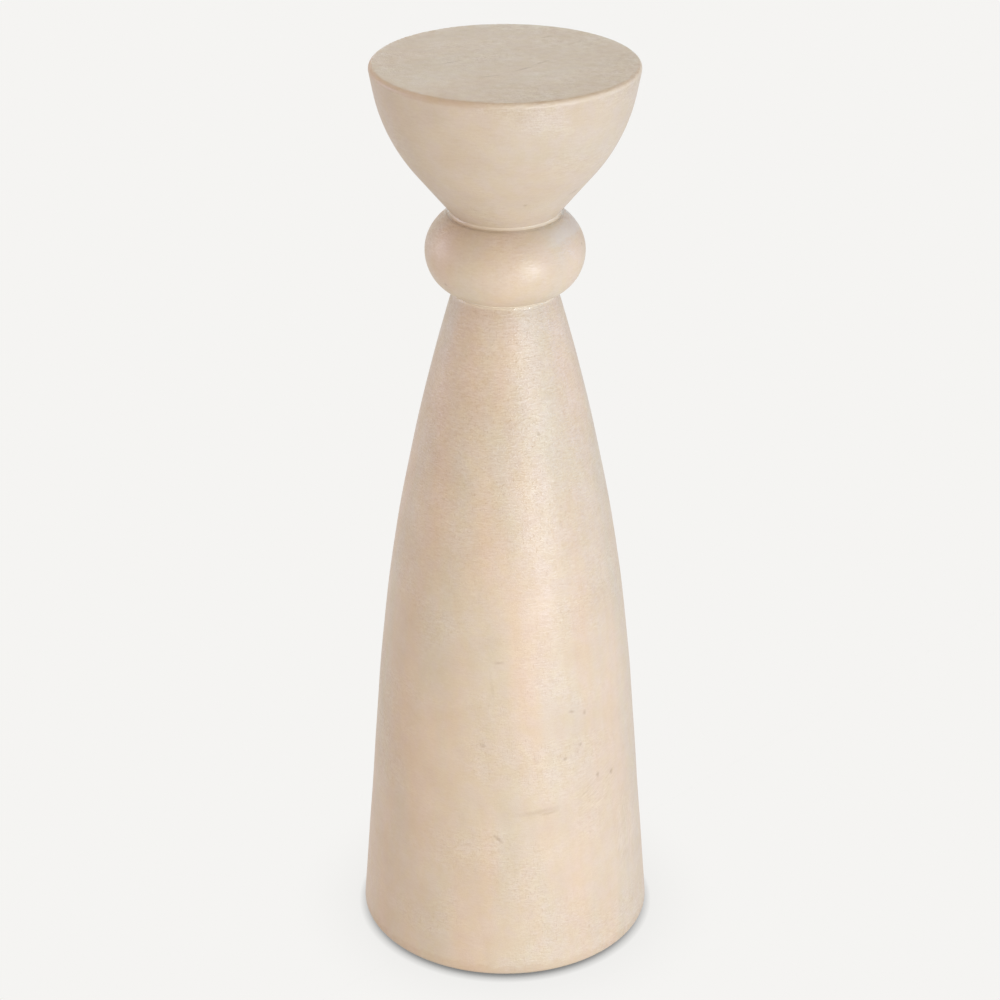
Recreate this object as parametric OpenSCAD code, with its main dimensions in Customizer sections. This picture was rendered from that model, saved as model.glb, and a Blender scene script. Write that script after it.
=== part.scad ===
// Turned wooden candlestick: a tapered column, a round bead and a flat-topped
// cup, lined up and glued on one fluted dowel, standing on a felt disc.
// Millimetres, +Z up. The origin is on the table, under the centre of the foot.

/* [Overall] */
// Height from the table to the face that the candle stands on
height = 330; // [300:5:380]

/* [Column] */
// Diameter of the foot, before its edge is rounded
foot_d = 107; // [96:1:116]
// Diameter of the column's top end, under the bead
neck_d = 36; // [32:0.5:40]
// Lean of the straight lower side, in degrees from upright
foot_taper = 4.4; // [3:0.1:5.5]
// Height of the straight lower side, up to the start of the curved shoulder
straight_h = 97; // [80:1:110]
// Radius of the rounded edge at the foot
foot_round = 1.6; // [0.6:0.1:3]
// Chamfer that softens the column's top edge
neck_chamfer = 0.4; // [0.2:0.1:0.8]

/* [Bead] */
// Largest diameter of the bead
bead_d = 54.9; // [50:0.1:60]
// Height of the bead, with its two lands
bead_h = 28.7; // [26:0.1:30]
// Radius of the bead's round side
bead_round = 15.1; // [14.5:0.1:17]
// Diameter of the lands, where the bead meets its neighbours
land_d = 36.6; // [34:0.2:38]
// Height of the land under the cup
top_land_h = 1; // [0.6:0.1:1.6]
// Height of the land on the column
bottom_land_h = 0.6; // [0.4:0.1:1.6]

/* [Cup] */
// Height of the cup
cup_h = 51.3; // [46:0.1:58]
// Diameter of the candle face, before its rim is rounded
rim_d = 91; // [84:0.5:98]
// Diameter of the cup's lower end, on the bead
cup_foot_d = 37; // [34:0.5:40]
// Flare of the cup's lower side, in degrees from upright
cup_flare = 39.4; // [38:0.2:42]
// Lean of the cup's upper side, in degrees from upright
rim_lean = 10.9; // [8:0.1:13]
// Radius of the curve between the cup's lower and upper sides
cup_curve = 61.5; // [45:0.5:66]
// Radius of the rounded rim
rim_round = 2.2; // [1:0.1:3]

/* [Dowel] */
// Diameter of the dowel
dowel_d = 16; // [12:1:18]
// Length of the dowel inside the column
dowel_in_column = 28; // [20:1:34]
// Length of the dowel inside the cup
dowel_in_cup = 27; // [20:1:30]
// Number of flutes, which let the glue out
flutes = 20; // [12:1:24]

/* [Base felt] */
// Thickness of the felt
felt_t = 1.5; // [1:0.1:3]
// Distance from the foot's edge to the felt's edge
felt_inset = 4; // [3:0.5:10]

/* [Hidden] */

foot_r = foot_d / 2;
neck_r = neck_d / 2;
rim_r = rim_d / 2;
cup_foot_r = cup_foot_d / 2;
dowel_r = dowel_d / 2;

// Levels along the axis
cup_bottom = height - cup_h;
column_top = cup_bottom - bead_h;
dowel_bottom = column_top - dowel_in_column;

hole_r = dowel_r + 0.05; // leaves room for a film of glue
hole_spare = 1.5;        // depth of each hole past the dowel's end
drill_angle = 59;        // half of the drill's point angle
dowel_chamfer = 1.2;
flute_r = 0.6;
past = 1;                // how far a cutter runs past the face where it starts

$fn = 128;
arc_error = 0.01;        // largest gap between an arc and the chords that make it

function unit(v) = v / norm(v);

// Points along an arc, both ends included
function arc(centre, r, from, to) =
    let (n = ceil(abs(to - from) / (2 * acos(1 - arc_error / r))))
    [for (i = [0:n]) let (a = from + (to - from) * i / n) centre + r * [cos(a), sin(a)]];

// The arc of radius r that rounds corner b of an outline that turns left from a to c
function rounded(a, b, c, r) =
    let (
        to_a = unit(a - b),
        to_c = unit(c - b),
        half = acos(to_a * to_c) / 2,
        centre = b + unit(to_a + to_c) * r / sin(half),
        start = b + to_a * r / tan(half) - centre,
        from = atan2(start.y, start.x)
    )
    arc(centre, r, from, from + 180 - 2 * half);

// The column's shoulder: the arc that carries on from the straight side and ends at the neck
function shoulder() =
    let (
        start = [foot_r - straight_h * tan(foot_taper), felt_t + straight_h],
        end = [neck_r, column_top - neck_chamfer],
        inward = -[cos(foot_taper), sin(foot_taper)],
        chord = end - start,
        r = chord * chord / (2 * chord * inward),
        centre = start + r * inward,
        last = end - centre
    )
    arc(centre, r, foot_taper, atan2(last.y, last.x));

// The corner where the cup's lower and upper sides would meet without their curve
function cup_corner() =
    let (
        spread = rim_r - cup_foot_r - cup_h * tan(rim_lean),
        rise = spread / (tan(cup_flare) - tan(rim_lean))
    )
    [cup_foot_r + rise * tan(cup_flare), cup_bottom + rise];

// A blind hole of this depth, going up from z = 0, with the drill's conical end
module blind_hole(depth) {
    translate([0, 0, -past])
        cylinder(h = depth + past, r = hole_r);
    translate([0, 0, depth])
        cylinder(h = hole_r / tan(drill_angle), r1 = hole_r, r2 = 0);
}

module base_felt() {
    color("dimgray")
        cylinder(h = felt_t, r = foot_r - felt_inset);
}

module column() {
    side = shoulder();
    foot_edge = rounded([0, felt_t], [foot_r, felt_t], side[0], foot_round);
    color("antiquewhite")
        difference() {
            rotate_extrude()
                polygon(concat(
                    [[0, felt_t]],
                    foot_edge,
                    side,
                    [[neck_r - neck_chamfer, column_top], [0, column_top]]
                ));
            translate([0, 0, column_top])
                mirror([0, 0, 1])
                    blind_hole(dowel_in_column + hole_spare);
        }
}

module bead() {
    round_h = bead_h - top_land_h - bottom_land_h;
    color("antiquewhite")
        translate([0, 0, column_top])
            difference() {
                rotate_extrude() {
                    square([land_d / 2, bead_h]);
                    translate([0, bottom_land_h])
                        intersection() {
                            translate([bead_d / 2 - bead_round, round_h / 2])
                                circle(bead_round);
                            square([bead_d, round_h]);
                        }
                }
                translate([0, 0, -past])
                    cylinder(h = bead_h + 2 * past, r = hole_r);
            }
}

module cup() {
    lower = [cup_foot_r, cup_bottom];
    upper = [rim_r, height];
    side = rounded(lower, cup_corner(), upper, cup_curve);
    rim = rounded(side[len(side) - 1], upper, [0, height], rim_round);
    color("antiquewhite")
        difference() {
            rotate_extrude()
                polygon(concat([[0, cup_bottom], lower], side, rim, [[0, height]]));
            translate([0, 0, cup_bottom])
                blind_hole(dowel_in_cup + hole_spare);
        }
}

module dowel() {
    length = dowel_in_column + bead_h + dowel_in_cup;
    end_r = dowel_r - dowel_chamfer;
    color("burlywood")
        translate([0, 0, dowel_bottom])
            difference() {
                rotate_extrude()
                    polygon([
                        [0, 0], [end_r, 0], [dowel_r, dowel_chamfer],
                        [dowel_r, length - dowel_chamfer], [end_r, length], [0, length]
                    ]);
                for (i = [0:flutes - 1])
                    rotate(i * 360 / flutes)
                        translate([dowel_r, 0, -past])
                            cylinder(h = length + 2 * past, r = flute_r, $fn = 24);
            }
}

base_felt();
column();
bead();
cup();
dowel();
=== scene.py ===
import bpy
import numpy as np
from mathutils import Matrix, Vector


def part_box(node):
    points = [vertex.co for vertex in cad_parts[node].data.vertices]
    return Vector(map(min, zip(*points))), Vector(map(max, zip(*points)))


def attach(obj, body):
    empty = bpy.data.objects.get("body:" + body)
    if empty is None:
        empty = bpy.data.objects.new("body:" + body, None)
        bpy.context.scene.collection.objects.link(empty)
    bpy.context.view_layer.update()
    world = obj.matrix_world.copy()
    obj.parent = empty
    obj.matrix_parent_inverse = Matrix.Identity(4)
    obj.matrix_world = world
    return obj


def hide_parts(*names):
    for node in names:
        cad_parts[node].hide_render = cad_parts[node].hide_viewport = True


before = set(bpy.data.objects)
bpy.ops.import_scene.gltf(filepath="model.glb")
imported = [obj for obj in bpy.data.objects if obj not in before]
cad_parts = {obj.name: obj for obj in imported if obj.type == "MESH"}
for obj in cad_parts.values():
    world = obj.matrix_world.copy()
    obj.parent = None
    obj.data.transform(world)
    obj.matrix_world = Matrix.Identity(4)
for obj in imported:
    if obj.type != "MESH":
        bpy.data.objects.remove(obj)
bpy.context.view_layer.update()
mm = 0.001
print("frame loaded")


# An outline is a list of points (radius, height) in mm, walked with the wood on its left.

def arc(centre, radius, start, end, step=4.0):
    # centre + radius (cos a, sin a), for angles a in degrees from start to end
    count = int(np.ceil(abs(end - start) / step)) + 1
    turn = np.radians(np.linspace(start, end, count))
    return np.array(centre) + radius * np.stack([np.cos(turn), np.sin(turn)], 1)


def corner(before, at, after, radius, step=9.0):
    # the arc that touches both lines of a corner, centred on their bisector at radius / sin(half angle)
    before, at, after = (np.array(p, float) for p in (before, at, after))
    u = (before - at) / np.linalg.norm(before - at)
    v = (after - at) / np.linalg.norm(after - at)
    half = np.arccos(np.clip(u @ v, -1, 1)) / 2
    centre = at + (u + v) / np.linalg.norm(u + v) * radius / np.sin(half)
    a = at + u * radius / np.tan(half) - centre
    b = at + v * radius / np.tan(half) - centre
    start = np.degrees(np.arctan2(a[1], a[0]))
    sweep = np.degrees(np.arctan2(a[0] * b[1] - a[1] * b[0], a @ b))
    return arc(centre, radius, start, start + sweep, step)


def fill(points, spacing):
    # extra points along each straight stretch, so that no gap is longer than the spacing
    points = np.array(points, float)
    gaps = np.linalg.norm(np.diff(points, axis=0), axis=1)
    parts = np.maximum(1, np.ceil(gaps / spacing - 1e-9)).astype(int)
    stretch = np.repeat(np.arange(len(gaps)), parts)
    first = np.repeat(np.cumsum(parts) - parts, parts)
    share = ((np.arange(parts.sum()) - first) / parts[stretch])[:, None]
    between = points[stretch] * (1 - share) + points[stretch + 1] * share
    return np.vstack([between, points[-1:]])


def join(*stretches):
    # stretches one after another, each shared end point kept once
    points = np.vstack(stretches)
    keep = np.r_[True, np.linalg.norm(np.diff(points, axis=0), axis=1) > 1e-6]
    return points[keep]


def turned(name, outline, around, relief, closed=False):
    # x = r cos t, y = r sin t, z = z, once each point has moved by relief(r, z, t) along the normal
    nextPoint = np.roll(outline, -1, 0) if closed else np.vstack([outline[1:], outline[-1:]])
    lastPoint = np.roll(outline, 1, 0) if closed else np.vstack([outline[:1], outline[:-1]])
    along = nextPoint - lastPoint
    along /= np.linalg.norm(along, axis=1)[:, None]
    t = np.linspace(0, 2 * np.pi, around, endpoint=False)
    rows = outline if closed else outline[1:-1]
    slope = along if closed else along[1:-1]
    r, z = rows[:, :1], rows[:, 1:]
    lift = relief(r, z, t[None, :])
    r = r + lift * slope[:, 1:]
    z = z - lift * slope[:, :1]
    grid = np.stack([r * np.cos(t), r * np.sin(t), z], -1).reshape(-1, 3)
    count = len(rows)
    i, j = np.meshgrid(np.arange(count if closed else count - 1), np.arange(around), indexing="ij")
    up, side = (i + 1) % count, (j + 1) % around
    quads = np.stack([i * around + j, i * around + side, up * around + side, up * around + j], -1)
    faces = [quads.reshape(-1, 4)]
    if not closed:  # a fan of triangles closes each end on the axis
        grid = np.vstack([grid, [[0, 0, outline[0, 1]], [0, 0, outline[-1, 1]]]])
        ring = np.arange(around)
        low, high = len(grid) - 2, len(grid) - 1
        top = (count - 1) * around
        faces.append(np.stack([np.roll(ring, -1), ring, np.full(around, low)], 1))
        faces.append(np.stack([ring + top, np.roll(ring, -1) + top, np.full(around, high)], 1))
    mesh = bpy.data.meshes.new(name)
    mesh.vertices.add(len(grid))
    mesh.vertices.foreach_set("co", (grid * mm).astype(np.float32).ravel())
    sizes = np.concatenate([np.full(len(f), f.shape[1]) for f in faces])
    corners = np.concatenate([f.ravel() for f in faces])
    mesh.loops.add(len(corners))
    mesh.loops.foreach_set("vertex_index", corners.astype(np.int32))
    mesh.polygons.add(len(sizes))
    mesh.polygons.foreach_set("loop_start", (np.cumsum(sizes) - sizes).astype(np.int32))
    mesh.polygons.foreach_set("use_smooth", np.ones(len(sizes), bool))
    mesh.update(calc_edges=True)
    mesh.validate()
    piece = bpy.data.objects.new(name, mesh)
    bpy.context.scene.collection.objects.link(piece)
    print(name, "has", len(grid), "points and", int((sizes - 2).sum()), "triangles")
    return piece


def fade(x, start, end):
    # 0 at start, 1 at end, and the smooth step 3 s^2 - 2 s^3 between them
    s = np.clip((x - start) / (end - start), 0, 1)
    return s * s * (3 - 2 * s)


def boxInMm(node):
    # the node's lowest and highest corners, each divided by the size of 1 mm
    low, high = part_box(node)
    return np.array(low) / mm, np.array(high) / mm


def replaceNode(piece, node, material):
    # the piece stands for a CAD node, on the one body that there is
    piece.data.materials.append(material)
    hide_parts(node)
    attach(piece, "root")


class Wire:
    # one output socket: sums, products and powers of wires and numbers add their own Math nodes
    def __init__(self, board, socket):
        self.board = board
        self.socket = socket

    def __add__(self, other):
        return self.board.maths("ADD", self, other)

    def __sub__(self, other):
        return self.board.maths("SUBTRACT", self, other)

    def __rsub__(self, other):
        return self.board.maths("SUBTRACT", other, self)

    def __mul__(self, other):
        return self.board.maths("MULTIPLY", self, other)

    def __truediv__(self, other):
        return self.board.maths("DIVIDE", self, other)

    def __pow__(self, other):
        return self.board.maths("POWER", self, other)

    __radd__ = __add__
    __rmul__ = __mul__


class Board:
    # the node tree of one material or world
    def __init__(self, tree):
        self.tree = tree

    def node(self, kind, settings, values, output=0):
        # a node of this type: its settings first, then each socket's value or wire
        node = self.tree.nodes.new(kind)
        for name, setting in settings.items():
            setattr(node, name, setting)
        for socket, value in values.items():
            self.set(node.inputs[socket], value)
        return Wire(self, node.outputs[output])

    def set(self, socket, value):
        # a wire is linked, a number or colour is the socket's own value
        if isinstance(value, Wire):
            self.tree.links.new(value.socket, socket)
        else:
            socket.default_value = value

    def maths(self, operation, *values):
        # one operation on one to three numbers or wires
        return self.node("ShaderNodeMath", {"operation": operation}, dict(enumerate(values)))

    def vector(self, operation, values, output=0):
        # one operation on points or directions
        return self.node("ShaderNodeVectorMath", {"operation": operation}, values, output)

    def mix(self, share, first, second, blend="MIX"):
        # first (1 - share) + second share, or another blend of the two colours
        sockets = {0: share, 6: first, 7: second}
        return self.node("ShaderNodeMix", {"data_type": "RGBA", "blend_type": blend}, sockets, 2)

    def step(self, value, start, end):
        # 0 at start, 1 at end, and 3 s^2 - 2 s^3 between them, for the share s of the way
        sockets = {"Value": value, "From Min": start, "From Max": end}
        return self.node("ShaderNodeMapRange", {"interpolation_type": "SMOOTHSTEP"}, sockets)

    def placed(self, point, middle, turn=(0, 0, 0), size=(1, 1, 1)):
        # the point as seen from a frame that is centred here, turned so many degrees and this large
        sockets = {"Vector": point, "Location": middle, "Rotation": np.radians(turn), "Scale": size}
        return self.node("ShaderNodeMapping", {"vector_type": "TEXTURE"}, sockets)

    def noise(self, point, size, detail=2.0, roughness=0.5):
        # smooth noise from 0 to 1 about 0.5, with features of this size in mm
        stretched = self.vector("DIVIDE", {0: point, 1: size})
        sockets = {"Vector": stretched, "Scale": 1.0, "Detail": detail, "Roughness": roughness}
        return self.node("ShaderNodeTexNoise", {"noise_dimensions": "3D"}, sockets)

    def split(self, point):
        # the point's x, y and z as three wires
        parts = self.node("ShaderNodeSeparateXYZ", {}, {0: point}).socket.node
        return [Wire(self, part) for part in parts.outputs]

    def pointInMm(self):
        # the point on the piece, from its own origin, in mm
        place = self.node("ShaderNodeTexCoord", {}, {}, "Object")
        return self.vector("SCALE", {0: place, "Scale": 1 / mm})


def newMaterial(name):
    # an empty material, with its board and its one shader
    material = bpy.data.materials.new(name)
    material.use_nodes = True
    board = Board(material.node_tree)
    shader = material.node_tree.nodes["Principled BSDF"]
    return material, board, shader


columnLow, columnHigh = boxInMm("column")
beadLow, beadHigh = boxInMm("bead")
cupLow, cupHigh = boxInMm("cup")
dowelLow, dowelHigh = boxInMm("dowel")
feltLow, feltHigh = boxInMm("base_felt")
drill = {"glueRoom": 0.05, "spare": 1.5, "halfAngle": 59}
holeR = dowelHigh[0] + drill["glueRoom"]
pointH = holeR / np.tan(np.radians(drill["halfAngle"]))  # height of the hole's conical end

limeFinish = {
    "bareWood": (0.47, 0.36, 0.25),     # where most of the lime was wiped away
    "limedWood": (0.62, 0.54, 0.43),    # where it stayed
    "pinkWood": (1.04, 0.98, 0.95),     # the two casts of the bands along the grain
    "greyWood": (0.96, 1.01, 1.02),
    "yellowCast": (1.0, 1.0, 0.965),    # the two casts of the small mottle
    "blueCast": (1.0, 1.0, 1.035),
    "wornEdge": (0.40, 0.27, 0.16),     # the three kinds of edge ring: real wear, a painted highlight and a painted reflection
    # a painted highlight: a pale colour standing in for light along the joints and the rim
    "paintedHighlight": (0.74, 0.655, 0.51),
    # a painted reflection of a cool light on the right of the bead
    "paintedReflection": (0.60, 0.61, 0.60),
    "pit": (0.26, 0.18, 0.11),
    # how much each layer counts, and the size of its features in mm
    "clouds": 0.42, "bands": 0.7, "growthRings": 0.03, "flecks": 0.45, "grit": 0.36, "pores": 0.2,
    "cloudSize": (17, 17, 13), "bandSize": (16, 16, 90), "patchSize": (34, 34, 26),
    "gritSize": (0.75, 0.75, 0.6), "poreSize": (0.45, 0.45, 3.2), "mottleSize": (5, 5, 6),
    "ringWander": 22,                   # how far the growth rings stray, in mm
    "ringRagged": 1.4,                  # how uneven the edge of a worn or limed ring is
    "roughness": 0.43, "gloss": 0.5,
}


def ringMask(board, point, ring, ragged):
    # 1 near the circle (ringR, ringZ) round the axis and 0 past its reach, with a ragged edge
    _, ringR, ringZ, reach, strength, fadeX = ring
    x, y, z = board.split(point)
    radius = (x ** 2 + y ** 2) ** 0.5
    away = ((radius - ringR) ** 2 + (z - ringZ) ** 2) ** 0.5
    away = away + (board.noise(point, (4, 4, 2), 3, 0.6) - 0.5) * (reach * ragged)
    mask = board.step(away, reach, reach * 0.35) * strength
    return mask * board.step(x, *fadeX) if fadeX else mask


def onSide(height, turn, side):
    # the point of the outline at this height, turned from the front: (r sin a, -r cos a, height)
    a = np.radians(turn)
    r = np.interp(height, side[:, 1], side[:, 0])
    return (r * np.sin(a), -r * np.cos(a), height)


def scrapedWash(board, point, cut, side):
    # the sum over patches of long thin noise, slanted, full at the patch's middle and 0 past its edge
    scrapes = 0
    for height, turn, wide, tall, tilt, strength in cut["scraped"]:
        middle = onSide(height, turn, side)
        zone = board.placed(point, middle, (0, 0, turn), (wide / 2, 40, tall / 2))
        zone = board.step(board.vector("LENGTH", {0: zone}, "Value"), 1.1, 0.3)
        slanted = board.placed(point, middle, (0, -tilt, turn))
        strokes = board.noise(slanted, (4, 4, 0.6), 2, 0.6) - 0.5
        scrapes = strokes * zone * strength + scrapes
    return scrapes


def pitMask(board, point, cut, side):
    # the largest of the pits, each its depth in the middle and 0 past 1.35 of its half sizes, a bit wavy
    places = []
    for height, turn, length, thickness, tilt, depth in cut["marks"]:
        middle = onSide(height, turn, side)
        places.append((middle, (0, -tilt, turn), (length / 2, 4, thickness / 2), depth))
    for faceX, faceY, length, thickness, turn, depth in cut["faceCracks"]:
        middle = (faceX, faceY, cupHigh[2])
        places.append((middle, (0, 0, turn), (length / 2, thickness / 2, 2), depth))
    waves = board.node("ShaderNodeTexNoise", {}, {"Vector": point, "Scale": 0.7}, "Color")
    waves = board.vector("SUBTRACT", {0: waves, 1: (0.5, 0.5, 0.5)})
    bent = board.vector("ADD", {0: point, 1: waves})
    pits = 0
    for middle, turn, size, depth in places:
        away = board.vector("LENGTH", {0: board.placed(bent, middle, turn, size)}, "Value")
        pits = board.maths("MAXIMUM", pits, board.step(away, 1.35, 0.1) * depth)
    return pits


def limedWood(name, finish, cut, side):
    # wash = 0.5 + the weighted sum of clouds, rings, flecks, grit and scrapes: 0 is bare wood, 1 is limed
    material, board, shader = newMaterial(name)
    point = board.pointInMm()
    _, _, z = board.split(point)
    grain = board.placed(point, cut["pith"], cut["grainTurn"])

    # growth rings lie round the pith, and bands and pores run along the grain
    wander = board.noise(grain, (30, 30, 160), 2)
    across, deep, _ = board.split(grain)
    fromPith = (across ** 2 + deep ** 2) ** 0.5 + (wander - 0.5) * finish["ringWander"]
    ringShare = board.maths("FRACT", fromPith / cut["ringWidth"])
    growthRings = board.step(ringShare, 0.3, 0.92) - board.step(ringShare, 0.92, 1.0)
    bands = board.noise(grain, finish["bandSize"], 3) - 0.5
    pores = board.step(board.noise(grain, finish["poreSize"], 1), 0.62, 0.74)

    # what the cloth and the sandpaper left runs round the piece, and is coarser in patches and high up
    clouds = board.noise(point, finish["cloudSize"], 4, 0.6) - 0.5
    upper = board.step(z, *cut["coarseFrom"])
    patches = board.step(board.noise(point, finish["patchSize"], 2), 0.45, 0.66)
    patches = board.maths("MAXIMUM", patches, upper)
    flecks = (board.noise(point, cut["fleckSize"], 3, 0.6) - 0.5) * cut["coarse"]
    grit = (board.noise(point, finish["gritSize"], 3, 0.75) - 0.5) * cut["coarse"]
    scrapes = scrapedWash(board, point, cut, side)
    wash = (
        0.5
        + clouds * finish["clouds"]
        + flecks * finish["flecks"] * (0.45 + patches)
        + grit * finish["grit"] * (0.5 + patches)
        - growthRings * (finish["growthRings"] * cut["figure"])
        - pores * finish["pores"] * patches
        + scrapes
    )
    colour = board.mix(board.step(wash, 0, 1), (*finish["bareWood"], 1), (*finish["limedWood"], 1))

    # the casts of the bands, of the mottle and of the whole piece
    bandShare = board.step(bands * (finish["bands"] * cut["figure"]) + 0.5, 0.3, 0.7)
    bandCast = board.mix(bandShare, (*finish["pinkWood"], 1), (*finish["greyWood"], 1))
    mottle = board.step(board.noise(point, finish["mottleSize"], 2, 0.6), 0.35, 0.65)
    mottleCast = board.mix(mottle, (*finish["yellowCast"], 1), (*finish["blueCast"], 1))
    for cast in (bandCast, mottleCast, (*cut["tint"], 1)):
        colour = board.mix(1.0, colour, cast, "MULTIPLY")

    # worn rings, rings of painted highlight on the joints and the rim, a ring of painted reflection on the
    # bead, then the pits
    # the mask of the painted highlight, which also lowers the roughness there
    highlightMask = 0
    for ring in cut["edgeRings"]:
        mask = ringMask(board, point, ring, finish["ringRagged"])
        if ring[0] == "paintedHighlight":
            highlightMask = board.maths("MAXIMUM", highlightMask, mask)
        colour = board.mix(mask, colour, (*finish[ring[0]], 1))
    pits = pitMask(board, point, cut, side)
    colour = board.mix(pits, colour, (*finish["pit"], 1))

    sheen = (finish["roughness"] - cut["polish"]) - clouds * 0.12 - flecks * 0.15 + pores * 0.12
    sheen = sheen + pits * 0.2 - highlightMask * 0.45 - upper * 0.06
    heightInMm = (flecks * 0.10 + grit * 0.08) * (0.6 + patches) - pores * patches * 0.03 - pits * 0.05
    heightInMm = heightInMm + scrapes * 0.08
    bump = board.node("ShaderNodeBump", {}, {"Height": heightInMm, "Distance": mm, "Strength": 1.0})
    board.set(shader.inputs["Base Color"], colour)
    board.set(shader.inputs["Roughness"], sheen)
    board.set(shader.inputs["Normal"], bump)
    shader.inputs["Specular IOR Level"].default_value = finish["gloss"]
    return material


columnShape = {
    "footR": 53.5, "footRound": 1.6, "footTaper": 4.4, "straight": 97.0,
    "neckR": 18.0, "neckRound": 0.5, "shoulderStep": 0.11, "spacing": 1.1, "around": 288,
}
columnCut = {
    "pith": (58, 34, 0), "grainTurn": (1.2, -1.6, 0),   # where the tree's middle lies, and its lean
    "ringWidth": 5.2, "fleckSize": (2.1, 2.1, 0.55),
    "coarseFrom": (115, 200),                           # the heights between which it grows coarse
    "tint": (1.0, 1.0, 1.01),
    "figure": 1.0, "coarse": 1.1, "polish": 0.03,       # strength of the grain and of the flecks, and shine
    "scraped": [  # (height, turn from the front, width and height of the patch, tilt, strength)
        (70, 44, 26, 24, 22, 0.8), (46, 63, 22, 42, 64, 0.8), (112, 150, 30, 30, 15, 0.5),
    ],
    "edgeRings": [  # (kind, radius, height, reach, strength, x where it starts and is full)
        ("wornEdge", 53.5, 1.5, 5.5, 0.30, None), ("wornEdge", 18.8, 247, 2.2, 0.10, None),
        # a painted highlight along the column's top edge, under the bead
        ("paintedHighlight", 17.9, 249.7, 0.9, 0.5, None),
    ],
    "marks": [  # (height, turn from the front, length, thickness, tilt, depth)
        (95, -10, 2.2, 1.9, 0, 0.32), (91, 35, 1.5, 1.5, 0, 0.4), (87, 27, 1.7, 1.6, 0, 0.45),
        (76, 44, 2.0, 2.5, 0, 0.42), (74, 53, 2.2, 2.3, 0, 0.45), (105, 31, 3.0, 1.4, -20, 0.35),
        (103, 38, 1.5, 2.2, 0, 0.35), (207.4, 23, 1.5, 1.4, 0, 0.5), (200, 35, 1.5, 1.4, 0, 0.2),
        (183, -38, 1.5, 1.2, 0, 0.18), (68, 15, 17, 2.4, 4, 0.22), (67, 19, 8, 1.6, 6, 0.25),
        (127, -3, 4.0, 1.2, 5, 0.3), (58, -3, 4.6, 1.4, -42, 0.4), (118, -6, 1.4, 14, 8, 0.1),
        (66, 165, 9, 1.4, 4, 0.3), (120, 120, 1.8, 1.6, 0, 0.5), (38, -120, 1.9, 1.8, 0, 0.6),
        (150, 200, 1.3, 9, 3, 0.2), (172, 88, 1.6, 1.3, 0, 0.4), (52, 96, 1.8, 1.8, 0, 0.5),
        (71, 37, 4.5, 1.0, 18, 0.16), (69, 42, 4.0, 1.0, 15, 0.15), (73, 40, 3.5, 0.9, 20, 0.14),
        (40, 56, 3.5, 1.1, 62, 0.16), (36, 59, 3.0, 1.1, 66, 0.14), (45, 58, 3.0, 1.0, 60, 0.12),
    ],
    "faceCracks": [],
}


def columnOutline(shape):
    # a straight side that leans in, then one arc that carries on from it to the neck, with its hole
    foot, top = columnLow[2], columnHigh[2]
    lean = np.radians(shape["footTaper"])
    start = np.array([shape["footR"] - shape["straight"] * np.tan(lean), foot + shape["straight"]])
    end = np.array([shape["neckR"], top])
    inward = -np.array([np.cos(lean), np.sin(lean)])
    chord = end - start
    radius = chord @ chord / (2 * chord @ inward)
    centre = start + radius * inward
    last = np.degrees(np.arctan2(*(end - centre)[::-1]))
    shoulder = arc(centre, radius, shape["footTaper"], last, shape["shoulderStep"])
    neckEdge = corner(shoulder[-8], end, (0, top), shape["neckRound"])
    shoulder = shoulder[shoulder[:, 1] < neckEdge[0, 1]]
    footEdge = corner((0, foot), (shape["footR"], foot), start, shape["footRound"])
    holeEnd = dowelLow[2] - drill["spare"]
    return join(
        fill([(0, foot), footEdge[0]], 6),
        footEdge,
        fill(np.vstack([footEdge[-1:], shoulder, neckEdge[:1]]), shape["spacing"]),
        neckEdge,
        fill([neckEdge[-1], (holeR, top)], 4),
        fill([(holeR, top), (holeR, holeEnd)], 8),
        fill([(holeR, holeEnd), (0, holeEnd - pointH)], 4),
    )


def columnRelief(r, z, t):
    # a cosine of 2 t for out of round, plus slow sines of z, plus fine turning marks every 2.6 mm of z
    side = fade(r, 19, 24) * fade(z, columnLow[2], columnLow[2] + 3)
    side = side * fade(z, columnHigh[2], columnHigh[2] - 8)
    oval = 0.07 * np.cos(2 * t + 0.011 * z + 0.6)
    waves = 0.05 * np.sin(z / 11.0 + 0.4 * np.sin(t)) + 0.03 * np.sin(z / 5.3 + 1.1)
    ripples = 0.006 * np.sin(2 * np.pi * z / 2.6 + t) * (1 + np.sin(3 * t + z / 30))
    return side * (oval + waves + ripples) - 0.05 * side


columnLine = columnOutline(columnShape)
columnSide = columnLine[: columnLine[:, 1].argmax() + 1]
column = turned("turnedColumn", columnLine, columnShape["around"], columnRelief)
replaceNode(column, "column",
            limedWood("limedColumnWood", limeFinish, columnCut, columnSide))
print("column made")

beadShape = {
    "widestR": 27.45, "sideRound": 15.1, "landR": 18.3, "topLand": 1.0, "bottomLand": 0.6,
    "topQuirk": 1.45, "bottomQuirk": 0.35,  # radii of the small hollows beside the lands
    "jointRound": 0.2, "sideStep": 2.2, "around": 240,
}
beadCut = {
    "pith": (40, -46, 0), "grainTurn": (2, 1.5, 40),
    "ringWidth": 4.4, "fleckSize": (2.4, 2.4, 0.55), "coarseFrom": (400, 500),
    "tint": (1.02, 1.01, 1.0),
    "figure": 0.8, "coarse": 1.45, "polish": 0.05, "scraped": [],
    "edgeRings": [
        # painted highlights on the top and bottom lands, and a painted reflection on the right of the
        # shoulder
        ("paintedHighlight", 18.4, 278.2, 1.15, 0.55, None),
        ("paintedHighlight", 18.3, 250.2, 0.9, 0.8, None), ("paintedReflection", 22.8, 274.4, 4.4, 0.38, (10, 21)),
    ],
    "marks": [(258, -50, 1.4, 1.1, 0, 0.35), (269, 75, 1.3, 1.1, 0, 0.4), (262, 170, 4, 1.1, 6, 0.3)],
    "faceCracks": [],
}


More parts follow.
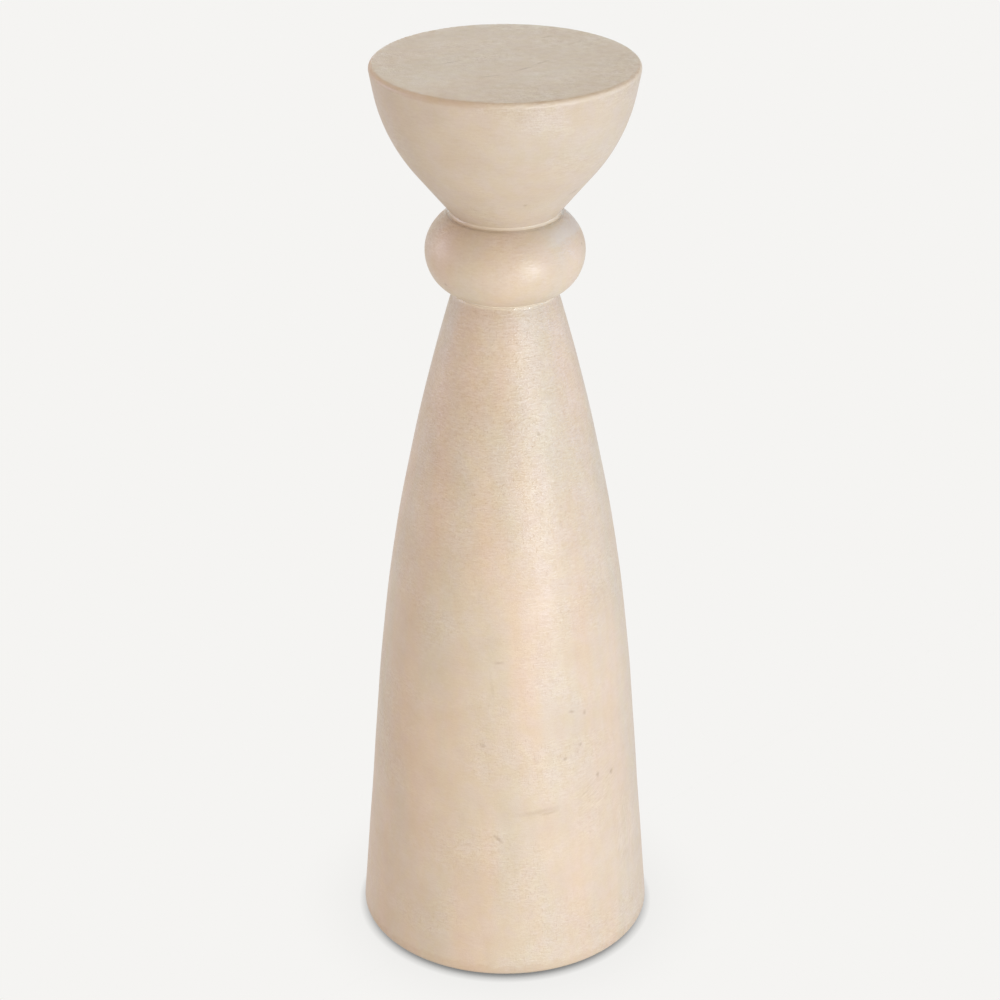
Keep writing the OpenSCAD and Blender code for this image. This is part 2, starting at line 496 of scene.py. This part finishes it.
def beadOutline(shape):
    # one arc between two short upright lands, each meeting it in a small hollow, and the bore
    low, high = beadLow[2], beadHigh[2]
    first, last = low + shape["bottomLand"], high - shape["topLand"]
    centre = (shape["widestR"] - shape["sideRound"], (first + last) / 2)
    reach = np.degrees(np.arcsin((last - first) / 2 / shape["sideRound"]))
    side = arc(centre, shape["sideRound"], -reach, reach, shape["sideStep"])
    landR, soft = shape["landR"], shape["jointRound"]
    return join(
        fill([(holeR, low), (landR - soft, low)], 4),
        corner((holeR, low), (landR, low), (landR, first), soft),
        corner((landR, low), (landR, first), side[0], shape["bottomQuirk"]),
        side,
        corner(side[-1], (landR, last), (landR, high), shape["topQuirk"]),
        corner((landR, last), (landR, high), (holeR, high), soft),
        fill([(landR - soft, high), (holeR, high)], 4),
        fill([(holeR, high), (holeR, low)], 5)[:-1],
    )


def beadRelief(r, z, t):
    # a cosine of 2 t for out of round, plus a slow sine of z, most where the bead is widest
    side = fade(r, 19, 25)
    return side * (0.06 * np.cos(2 * t + 1.3) + 0.03 * np.sin(z / 2.1 + np.sin(t)) - 0.06)


beadLine = beadOutline(beadShape)
beadSide = beadLine[beadLine[:, 0] > beadShape["landR"] + 1]
bead = turned("turnedBead", beadLine, beadShape["around"], beadRelief, closed=True)
replaceNode(bead, "bead", limedWood("limedBeadWood", limeFinish, beadCut, beadSide))
print("bead made")

cupShape = {
    "footR": 18.5, "flare": 39.4, "rimR": 45.5, "rimLean": 10.9, "curve": 61.5, "rimRound": 1.7,
    "jointRound": 0.25, "curveStep": 0.7, "spacing": 0.8, "around": 288,
}
cupCut = {
    "pith": (0, 0, 268), "grainTurn": (0, 90, 34),
    "ringWidth": 5.0, "fleckSize": (3.0, 3.0, 0.5), "coarseFrom": (400, 500),
    "tint": (0.952, 0.95, 0.968),
    "figure": 0.35, "coarse": 1.3, "polish": 0.0, "scraped": [],
    "edgeRings": [
        # real wear along the rim on the left, and a painted highlight along the rim on the right
        ("wornEdge", 45.1, 329.0, 1.1, 0.23, (5, -16)), ("paintedHighlight", 45.1, 329.1, 1.0, 0.25, (-14, 6)),
    ],
    "marks": [(289.7, 14, 1.4, 1.2, 0, 0.38), (291, 52, 5.5, 1.0, 8, 0.35), (302, 160, 1.5, 1.3, 0, 0.5)],
    "faceCracks": [
        # (x, y, length, thickness, turn, depth)
        (-5, -16, 8, 1.0, 20, 0.4), (6, -8, 9, 1.0, 40, 0.42), (12, -1, 8, 1.0, 46, 0.38),
        (-18, -1, 8, 1.0, 30, 0.38), (14, 28, 5, 0.9, 34, 0.35), (-3, 9, 6, 0.8, 34, 0.2),
        (24, 3, 5, 0.8, 30, 0.2), (-26, 12, 9, 0.8, 36, 0.18), (2, -24, 7, 0.8, 32, 0.15),
    ],
}


def cupOutline(shape):
    # a flared lower side and a steep upper side, with one curve between them, a round rim and a flat face
    low, high = cupLow[2], cupHigh[2]
    flare, lean = np.tan(np.radians([shape["flare"], shape["rimLean"]]))
    rise = (shape["rimR"] - shape["footR"] - (high - low) * lean) / (flare - lean)
    foot, rim = np.array([shape["footR"], low]), np.array([shape["rimR"], high])
    side = corner(foot, foot + (rise * flare, rise), rim, shape["curve"], shape["curveStep"])
    rimEdge = corner(side[-1], rim, (0, high), shape["rimRound"])
    holeEnd = dowelHigh[2] + drill["spare"]
    soft = shape["jointRound"]
    return join(
        fill([(0, holeEnd + pointH), (holeR, holeEnd)], 4),
        fill([(holeR, holeEnd), (holeR, low)], 8),
        fill([(holeR, low), (shape["footR"] - soft, low)], 4),
        corner((holeR, low), foot, side[0], soft),
        fill(np.vstack([foot + (soft * flare, soft), side, rimEdge[:1]]), shape["spacing"]),
        rimEdge,
        fill([rimEdge[-1], (0, high)], shape["spacing"] * 2),
    )


def cupRelief(r, z, t):
    # a cosine of 2 t for out of round, plus sines of z, faded out on the flat face and at the joint
    side = fade(r, 19, 26) * fade(z, cupHigh[2] - 0.3, cupHigh[2] - 4)
    oval = 0.07 * np.cos(2 * t - 0.5) + 0.03 * np.sin(z / 6.0 + np.sin(t + 1))
    return side * (oval + 0.005 * np.sin(2 * np.pi * z / 2.4) - 0.05)


cupLine = cupOutline(cupShape)
cup = turned("turnedCup", cupLine, cupShape["around"], cupRelief)
cupSide = cupLine[cupLine[:, 0] > cupShape["footR"] + 0.1]
replaceNode(cup, "cup", limedWood("limedCupWood", limeFinish, cupCut, cupSide))
print("cup made")

feltShape = {"edgeRound": 0.45, "around": 360, "fuzz": 0.10, "waves": 24}
feltFinish = {
    "dark": (0.045, 0.042, 0.040), "light": (0.13, 0.12, 0.115), "roughness": 0.95, "sheen": 0.35,
}


def feltOutline(shape):
    # a flat disc with softly rounded edges
    radius, low, high = feltHigh[0], feltLow[2], feltHigh[2]
    return join(
        fill([(0, low), (radius - shape["edgeRound"], low)], 1.5),
        corner((0, low), (radius, low), (radius, high), shape["edgeRound"], 15),
        fill([(radius, low + shape["edgeRound"]), (radius, high - shape["edgeRound"])], 0.2),
        corner((radius, low), (radius, high), (0, high), shape["edgeRound"], 15),
        fill([(radius - shape["edgeRound"], high), (0, high)], 3),
    )


def feltRelief(r, z, t):
    # an uneven cut edge: the mean of sines with many counts round the disc, moved almost wholly inwards
    seeds, waves = np.random.default_rng(7), feltShape["waves"]
    counts = seeds.integers(20, 170, waves)
    phases = seeds.uniform(0, 2 * np.pi, waves)
    uneven = sum(np.sin(n * t + p + 2.5 * z) for n, p in zip(counts, phases)) / waves
    edge = fade(r, feltHigh[0] - 1.5, feltHigh[0] - 0.3)
    return edge * feltShape["fuzz"] * (uneven * 1.8 - 0.8)


def pressedFelt(name, finish):
    # short fibres lie in every direction: three stretched noises, each turned another way
    material, board, shader = newMaterial(name)
    point = board.pointInMm()
    fibres = 0
    for turn in (0, 63, 121):
        lying = board.placed(point, (0, 0, 0), (12, 7, turn))
        fibres = board.noise(lying, (0.22, 2.6, 0.22), 2, 0.6) + fibres
    tufts = board.noise(point, (1.4, 1.4, 1.4), 3, 0.6)
    pile = board.step(fibres / 3 * 0.7 + tufts * 0.3, 0.36, 0.64)
    board.set(shader.inputs["Base Color"], board.mix(pile, (*finish["dark"], 1), (*finish["light"], 1)))
    board.set(shader.inputs["Roughness"], finish["roughness"] - pile * 0.1)
    bump = board.node("ShaderNodeBump", {}, {"Height": pile * 0.12, "Distance": mm, "Strength": 1.0})
    board.set(shader.inputs["Normal"], bump)
    shader.inputs["Sheen Weight"].default_value = finish["sheen"]
    return material


felt = turned("feltDisc", feltOutline(feltShape), feltShape["around"], feltRelief)
replaceNode(felt, "base_felt", pressedFelt("pressedFelt", feltFinish))
print("felt made")

beechFinish = {
    "pale": (0.62, 0.42, 0.26), "dark": (0.44, 0.26, 0.14), "ray": (0.34, 0.19, 0.10), "roughness": 0.62,
}


def planedBeech(name, finish):
    # straight growth rings across the dowel, with short brown rays along it
    material, board, shader = newMaterial(name)
    point = board.pointInMm()
    x, _, _ = board.split(point)
    wander = board.noise(point, (7, 7, 60), 2) - 0.5
    rings = board.maths("FRACT", (x + wander * 3 + 40) / 2.3)
    grain = board.noise(point, (0.6, 0.6, 14), 3, 0.6)
    late = board.step(rings * 0.5 + grain * 0.6, 0.2, 0.9)
    colour = board.mix(late, (*finish["pale"], 1), (*finish["dark"], 1))
    rays = board.step(board.noise(point, (0.5, 0.5, 2.4), 1), 0.64, 0.72)
    colour = board.mix(rays * 0.7, colour, (*finish["ray"], 1))
    board.set(shader.inputs["Base Color"], colour)
    board.set(shader.inputs["Roughness"], finish["roughness"] + rays * 0.1 - grain * 0.1)
    bump = board.node("ShaderNodeBump", {}, {
        "Height": grain * 0.03 - rays * 0.02, "Distance": mm, "Strength": 1.0})
    board.set(shader.inputs["Normal"], bump)
    return material


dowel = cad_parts["dowel"]
dowel.data.materials.clear()
dowel.data.materials.append(planedBeech("planedBeech", beechFinish))
print("dowel finished")

cameraView = {"distance": 0.8531, "height": 0.5918, "tiltDown": 26.36, "lens": 96.37, "shiftX": -0.0051}
cameraData = bpy.data.cameras.new("camera")
cameraData.lens = cameraView["lens"]
cameraData.shift_x = cameraView["shiftX"]
camera = bpy.data.objects.new("camera", cameraData)
camera.location = (0, -cameraView["distance"], cameraView["height"])
camera.rotation_euler = (np.radians(90 - cameraView["tiltDown"]), 0, 0)
bpy.context.scene.collection.objects.link(camera)
bpy.context.scene.camera = camera

studio = {
    "paper": (0.913, 0.905, 0.888), "paperBounce": 0.88, "sky": (0.735, 0.63, 0.565),
    "contactReach": (0.0035, 0.030), "contactDepth": (0.64, 0.11),
    "floorHalf": 12, "aim": (0, 0, 0.2),
    "lights": [  # (name, turn from the front, rise, watts, (width, height), colour, distance)
        ("keyWindow", 37, -1.5, 16.4, (0.55, 0.34), (0.95, 1.04, 1.20), 1.6),
        ("coolRight", 60, 25, 1.5, (0.7, 0.7), (0.05, 0.7, 1.3), 1.6),
        ("sideWindow", 97, 4, 1.6, (0.3, 0.3), (0.45, 0.88, 1.8), 1.6),
        ("leftRear", -108, 12, 6.0, (0.8, 0.8), (1.0, 1.03, 1.35), 1.6),
        ("rear", 180, 12, 3.8, (0.8, 0.8), (0.65, 1.0, 1.15), 1.6),
        ("overhead", 0, 84, 2.36, (0.8, 0.8), (1.0, 0.88, 0.45), 1.4),
        ("lowFront", 0, -20, 0.22, (0.6, 0.12), (1.25, 0.95, 0.6), 0.42),
    ],
}


def pageFloor(half):
    # one square of paper that glows evenly, so that it has no horizon, with a painted contact shadow that
    # darkens it close to the foot
    mesh = bpy.data.meshes.new("floor")
    corners = [(-half, -half, 0), (half, -half, 0), (half, half, 0), (-half, half, 0)]
    mesh.from_pydata(corners, [], [(0, 1, 2, 3)])
    floor = bpy.data.objects.new("floor", mesh)
    material, board, shader = newMaterial("paperFloor")
    light = 1
    # the painted contact shadow: ambient occlusion darkens the glow near the foot
    for reach, depth in zip(studio["contactReach"], studio["contactDepth"]):
        openness = board.node("ShaderNodeAmbientOcclusion", {"samples": 16}, {"Distance": reach}, "AO")
        light = openness ** depth * light
    seen = board.node("ShaderNodeLightPath", {}, {}, "Is Camera Ray")
    bounced = [c * studio["paperBounce"] for c in studio["paper"]]
    page = board.mix(seen, (*bounced, 1), (*studio["paper"], 1))
    shade = board.mix(light, (0, 0, 0, 1), page)
    shader.inputs["Base Color"].default_value = (0, 0, 0, 1)
    shader.inputs["Specular IOR Level"].default_value = 0
    board.set(shader.inputs["Emission Color"], shade)
    shader.inputs["Emission Strength"].default_value = 1
    mesh.materials.append(material)
    bpy.context.scene.collection.objects.link(floor)


def studioLight(name, turn, rise, watts, size, colour, distance):
    # a soft light at aim + distance (sin a cos e, -cos a cos e, sin e), for its turn a and rise e
    a, e = np.radians([turn, rise])
    towards = Vector((np.sin(a) * np.cos(e), -np.cos(a) * np.cos(e), np.sin(e)))
    lamp = bpy.data.lights.new(name, "AREA")
    lamp.shape = "RECTANGLE"
    lamp.size, lamp.size_y = size
    lamp.energy = watts
    lamp.color = colour
    light = bpy.data.objects.new(name, lamp)
    light.location = Vector(studio["aim"]) + towards * distance
    light.rotation_euler = (-towards).to_track_quat("-Z", "Y").to_euler()
    light.visible_camera = False
    bpy.context.scene.collection.objects.link(light)


pageFloor(studio["floorHalf"])
for values in studio["lights"]:
    studioLight(*values)

world = bpy.data.worlds.new("studio")
bpy.context.scene.world = world
world.use_nodes = True
sky = Board(world.node_tree)
background = world.node_tree.nodes["Background"]
seen = sky.node("ShaderNodeLightPath", {}, {}, "Is Camera Ray")
sky.set(background.inputs["Color"], sky.mix(seen, (*studio["sky"], 1), (*studio["paper"], 1)))
bpy.context.scene.view_settings.view_transform = "Standard"
print("stage, camera and lights set")
